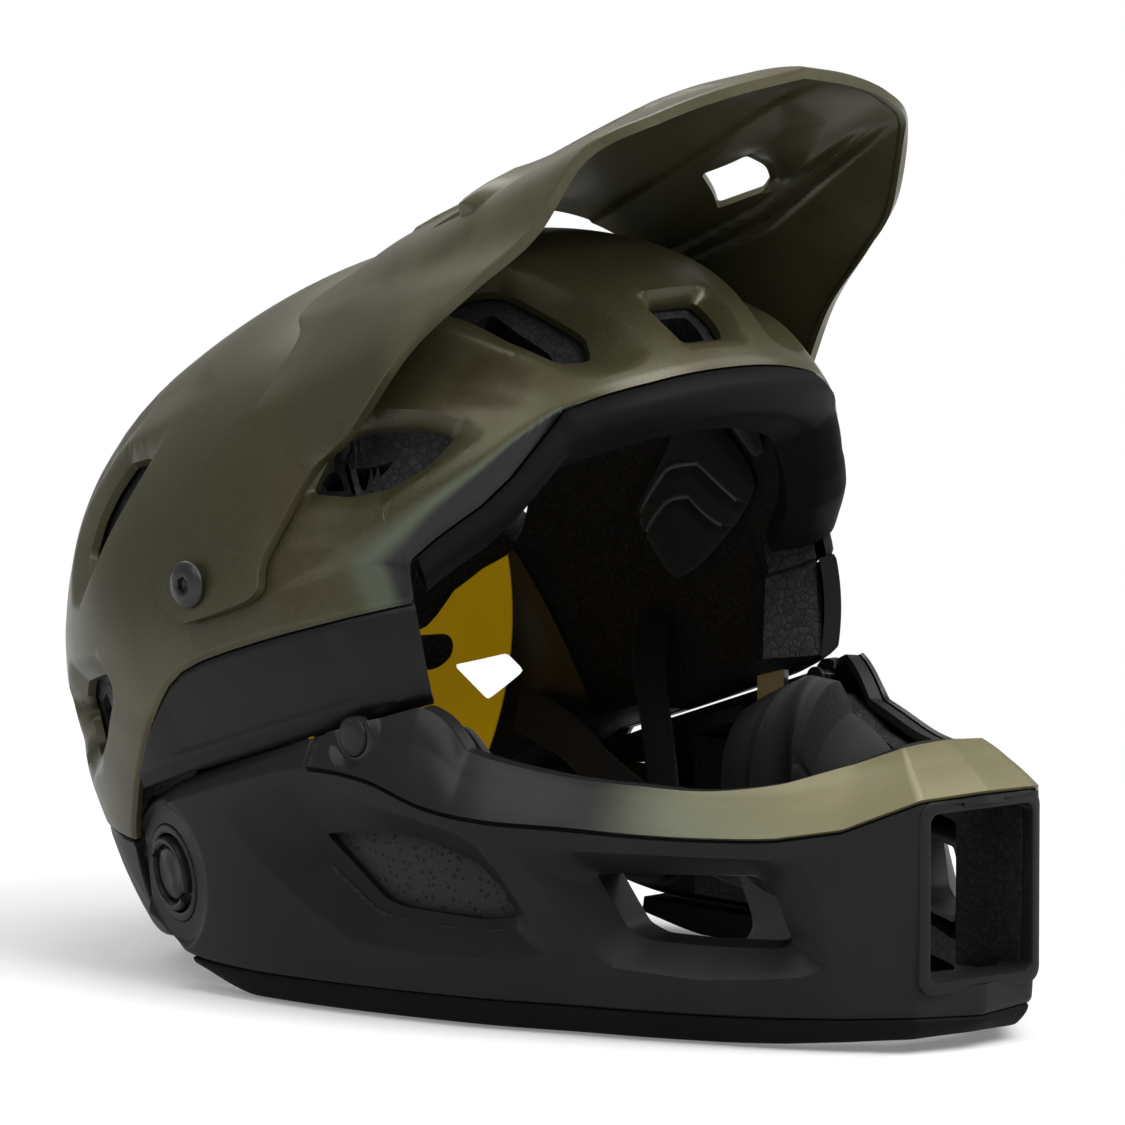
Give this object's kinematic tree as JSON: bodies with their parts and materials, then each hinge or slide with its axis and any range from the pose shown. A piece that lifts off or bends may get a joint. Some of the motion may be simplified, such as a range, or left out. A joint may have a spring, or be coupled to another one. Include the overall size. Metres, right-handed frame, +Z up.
{
  "type": "full face bike helmet",
  "caption": "Full face cycling helmet: vented shell with foam liner, raised visor on two pivot bolts, and a removable vented chin bar held by front hooks and side release knobs",
  "frame": {"origin": "centre of the bounding box's bottom, on the ground that the chin bar's lower edge rests on", "axes": "+Z up, -Y is the helmet's front, -X is the wearer's right; the helmet is symmetric about X = 0 apart from its buckle"},
  "size_m": [0.2214, 0.3606, 0.2861],
  "materials": {
    "black_shell": "satin black moulded plastic",
    "bolt_grey": "dark grey anodised aluminium",
    "foam": "speckled dark grey bead foam",
    "knob_black": "satin black plastic, finely grained",
    "liner_yellow": "smooth warm yellow plastic",
    "pad_cloth": "black knitted cloth over foam",
    "shell_paint": "matte olive paint with soft brown and dark clouds",
    "steel": "plain brushed steel",
    "trim_rubber": "soft matt black rubber",
    "webbing": "black woven webbing"
  },
  "bodies": {
    "helmet": {"outer_shell": "shell_paint", "foam_liner": "foam", "slip_liner": "liner_yellow", "brow_trim": "trim_rubber", "side_shell_right": "black_shell", "side_shell_left": "black_shell", "nape_trim": "black_shell", "brow_pad": "pad_cloth", "crown_pad": "pad_cloth", "temple_pad_right": "pad_cloth", "temple_pad_left": "pad_cloth", "visor_nut_right": "steel", "visor_nut_left": "steel", "visor_bolt_right": "bolt_grey", "visor_bolt_left": "bolt_grey", "latch_tongue_right": "steel", "latch_tongue_left": "steel", "front_peg_right": "steel", "front_peg_left": "steel", "cradle_hangers": "black_shell", "strap_right": "webbing", "strap_left": "webbing", "buckle_socket": "knob_black", "buckle_tab": "knob_black"},
    "visor": {"visor": "shell_paint", "visor_bush_right": "knob_black", "visor_bush_left": "knob_black"},
    "chin_bar": {"chin_shell": "black_shell", "chin_cover": "shell_paint", "chin_foam": "foam", "chin_skirt": "trim_rubber", "mouth_frame": "black_shell", "vent_duct_right": "black_shell", "vent_duct_left": "black_shell", "vent_backing_right": "pad_cloth", "vent_backing_left": "pad_cloth", "cheek_pad_right": "pad_cloth", "cheek_pad_left": "pad_cloth", "knob_housing_right": "knob_black", "knob_housing_left": "knob_black", "front_cap_right": "knob_black", "front_cap_left": "knob_black", "front_hook_right": "steel", "front_hook_left": "steel"},
    "knob_right": {"release_knob_right": "knob_black", "latch_magnet_right": "steel"},
    "knob_left": {"release_knob_left": "knob_black", "latch_magnet_left": "steel"},
    "cradle": {"cradle": "black_shell", "dial_housing": "knob_black"},
    "dial": {"fit_dial": "knob_black"}
  },
  "joints": [
    {"name": "visor_tilt", "type": "hinge", "parent": "helmet", "child": "visor", "pos_m": [0, 0.05562, 0.12513], "axis": [-1, 0, 0], "range_deg": [-3, 12]},
    {"name": "chin_bar_release", "type": "slide", "parent": "helmet", "child": "chin_bar", "axis": [0, -1, 0], "range_m": [0, 0.06]},
    {"name": "knob_right_turn", "type": "hinge", "parent": "chin_bar", "child": "knob_right", "pos_m": [-0.09699, 0.07611, 0.034], "axis": [-0.9565, 0.2563, -0.1392], "range_deg": [0, 45], "stiffness_Nm_per_rad": 0.05},
    {"name": "knob_left_turn", "type": "hinge", "parent": "chin_bar", "child": "knob_left", "pos_m": [0.09699, 0.07611, 0.034], "axis": [0.9565, 0.2563, -0.1392], "range_deg": [-45, 0], "stiffness_Nm_per_rad": 0.05},
    {"name": "cradle_draw", "type": "slide", "parent": "helmet", "child": "cradle", "axis": [0, -1, 0], "range_m": [0, 0.012]},
    {"name": "dial_turn", "type": "hinge", "parent": "cradle", "child": "dial", "pos_m": [0, 0.12402, 0.03], "axis": [0, 1, 0], "range_deg": [0, 275]}
  ],
  "couplings": [
    {"joint": "dial_turn", "follows": "cradle_draw", "rad_per_m": 392.7}
  ]
}
